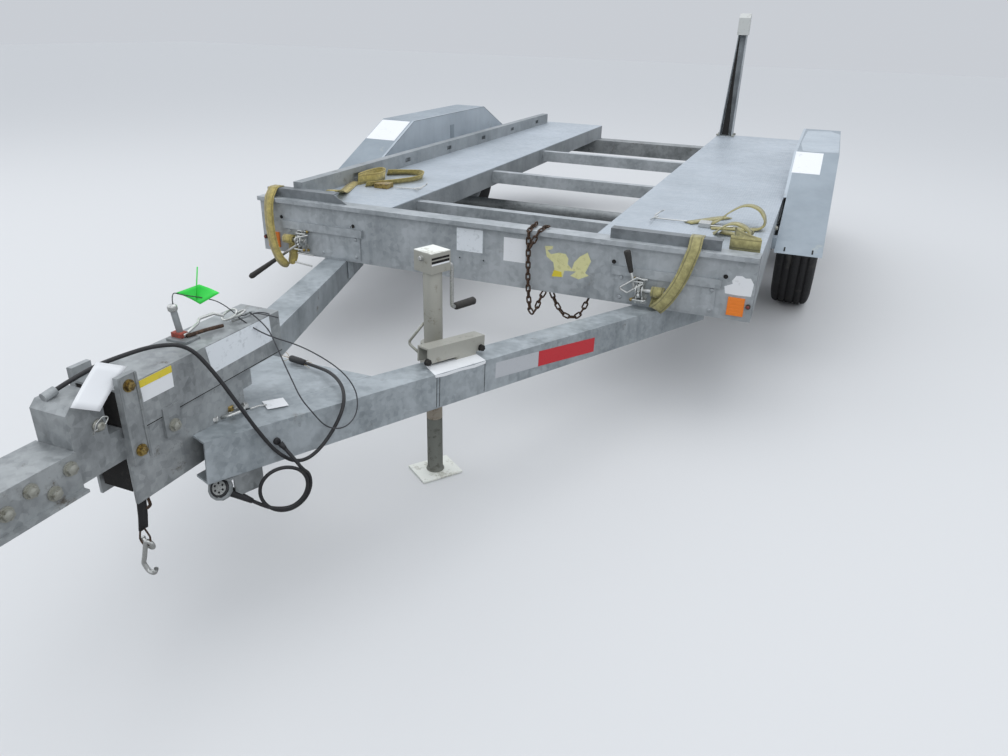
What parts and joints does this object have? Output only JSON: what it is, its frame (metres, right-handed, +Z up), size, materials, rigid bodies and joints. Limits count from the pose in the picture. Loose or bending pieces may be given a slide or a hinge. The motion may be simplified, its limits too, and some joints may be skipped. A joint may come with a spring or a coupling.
{
  "type": "car transport trailer",
  "caption": "Galvanised twin-runway car transport trailer with surge coupler, side-wind jack, wheel stops and tandem wheels under sloped fenders",
  "frame": {"origin": "on the ground, on the centre plane, midway along the overall length", "axes": "+Z up, -Y towards the coupler, +X towards the trailer's left side"},
  "size_m": [2.59, 5.752, 1.45],
  "materials": {
    "amber_lens": "moulded lens",
    "black_plastic": "moulded, weathered",
    "black_rubber": "matt rubber sheath",
    "brass": "dull brass",
    "deck_steel": "galvanised, anti-slip pattern",
    "galvanised": "hot-dip galvanised, weathered",
    "rim_paint": "galvanised steel disc wheel",
    "rusty_chain": "brown rust",
    "tyre": "rubber, worn",
    "webbing": "woven polyester webbing, olive yellow, worn",
    "zinc": "bright zinc plated"
  },
  "bodies": {
    "frame": {"actuator_case": "galvanised", "actuator_housing": "galvanised", "actuator_slide": "galvanised", "axles": "galvanised", "brake_hose": "black_rubber", "breakaway_lever": "zinc", "cable_grommet": "black_rubber", "coupler": "galvanised", "coupler_latch": "zinc", "cross_members": "galvanised", "deck_left": "deck_steel", "deck_right": "deck_steel", "fender_left": "galvanised", "fender_right": "galvanised", "front_beam": "galvanised", "front_reflectors": "amber_lens", "guard_rail": "galvanised", "guide_post_cap": "black_plastic", "hose_fitting": "brass", "inner_rail_left": "galvanised", "inner_rail_right": "galvanised", "jack_bracket": "galvanised", "jack_crank": "zinc", "jack_tube": "galvanised", "nose_plate": "galvanised", "outer_rail_left": "galvanised", "outer_rail_right": "galvanised", "plug_holder": "galvanised", "ratchet_left": "zinc", "ratchet_right": "zinc", "rear_beam": "galvanised", "rear_guide_post": "galvanised", "rear_lamps": "black_plastic", "safety_chain": "rusty_chain", "spare_strap_left": "webbing", "spare_strap_right": "webbing", "strap_left": "webbing", "strap_right": "webbing", "suspension_left": "galvanised", "suspension_right": "galvanised", "tongue_hangers": "galvanised", "tongue_rail_left": "galvanised", "tongue_rail_right": "galvanised", "wheel_stops": "galvanised", "wiring_cable": "black_rubber", "wiring_coil": "black_rubber", "wiring_lead": "black_rubber", "wiring_plug": "black_plastic"},
    "jack_leg": {"jack_leg": "galvanised"},
    "wheel_front_left_set": {"tyre_front_left": "tyre", "wheel_front_left": "rim_paint"},
    "wheel_front_right_set": {"tyre_front_right": "tyre", "wheel_front_right": "rim_paint"},
    "wheel_rear_left_set": {"tyre_rear_left": "tyre", "wheel_rear_left": "rim_paint"},
    "wheel_rear_right_set": {"tyre_rear_right": "tyre", "wheel_rear_right": "rim_paint"}
  },
  "joints": [
    {"name": "wheel_front_left_spin", "type": "hinge", "parent": "frame", "child": "wheel_front_left_set", "pos_m": [1.19, 0.938, 0.343], "axis": [1, 0, 0], "continuous": true},
    {"name": "wheel_front_right_spin", "type": "hinge", "parent": "frame", "child": "wheel_front_right_set", "pos_m": [-1.19, 0.938, 0.343], "axis": [1, 0, 0], "continuous": true},
    {"name": "wheel_rear_left_spin", "type": "hinge", "parent": "frame", "child": "wheel_rear_left_set", "pos_m": [1.19, 1.798, 0.343], "axis": [1, 0, 0], "continuous": true},
    {"name": "wheel_rear_right_spin", "type": "hinge", "parent": "frame", "child": "wheel_rear_right_set", "pos_m": [-1.19, 1.798, 0.343], "axis": [1, 0, 0], "continuous": true},
    {"name": "jack_leg_slide", "type": "slide", "parent": "frame", "child": "jack_leg", "axis": [0, 0, 1], "range_m": [-0.09, 0.19]}
  ]
}
